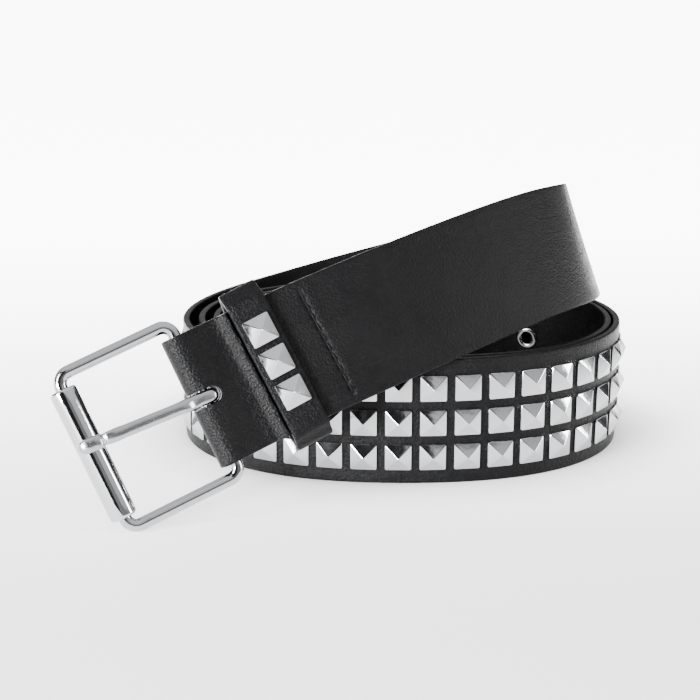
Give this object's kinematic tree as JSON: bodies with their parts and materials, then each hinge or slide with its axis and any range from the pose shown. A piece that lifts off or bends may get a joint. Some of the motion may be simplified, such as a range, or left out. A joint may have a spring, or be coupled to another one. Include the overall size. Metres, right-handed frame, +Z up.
{
  "type": "studded belt",
  "caption": "Leather belt with rows of pyramid studs and a roller buckle, rolled into an oval coil that stands on its edge.",
  "frame": {"origin": "middle of the rolled belt's box, on the ground", "axes": "+Z up, -Y to the front of the coil, -X to the buckle"},
  "size_m": [0.1836, 0.1766, 0.0895],
  "materials": {
    "strap": "grained, semi-gloss, with chrome-plated studs",
    "keeper": "grained, semi-gloss",
    "stud": "polished",
    "buckle": "polished",
    "roller": "polished",
    "prong": "polished",
    "eyelet": "polished"
  },
  "bodies": {
    "belt": {"strap": "strap", "keeper": "keeper", "keeper_stud_1": "stud", "keeper_stud_2": "stud", "keeper_stud_3": "stud", "eyelet_1": "eyelet", "eyelet_2": "eyelet", "eyelet_3": "eyelet", "eyelet_4": "eyelet", "eyelet_5": "eyelet"},
    "frame": {"buckle_frame": "buckle"},
    "roller": {"roller": "roller"},
    "prong": {"prong": "prong"}
  },
  "joints": [
    {"name": "frame_turn", "type": "hinge", "parent": "belt", "child": "frame", "pos_m": [-0.04733, -0.06996, 0.03638], "axis": [-0.4283, 0.1798, 0.8856], "range_deg": [-95, 20]},
    {"name": "prong_turn", "type": "hinge", "parent": "frame", "child": "prong", "pos_m": [-0.04733, -0.06996, 0.03638], "axis": [-0.4283, 0.1798, 0.8856], "range_deg": [0, 62]},
    {"name": "roller_turn", "type": "hinge", "parent": "frame", "child": "roller", "pos_m": [-0.07938, -0.08057, 0.02303], "axis": [-0.4283, 0.1798, 0.8856], "continuous": true}
  ]
}
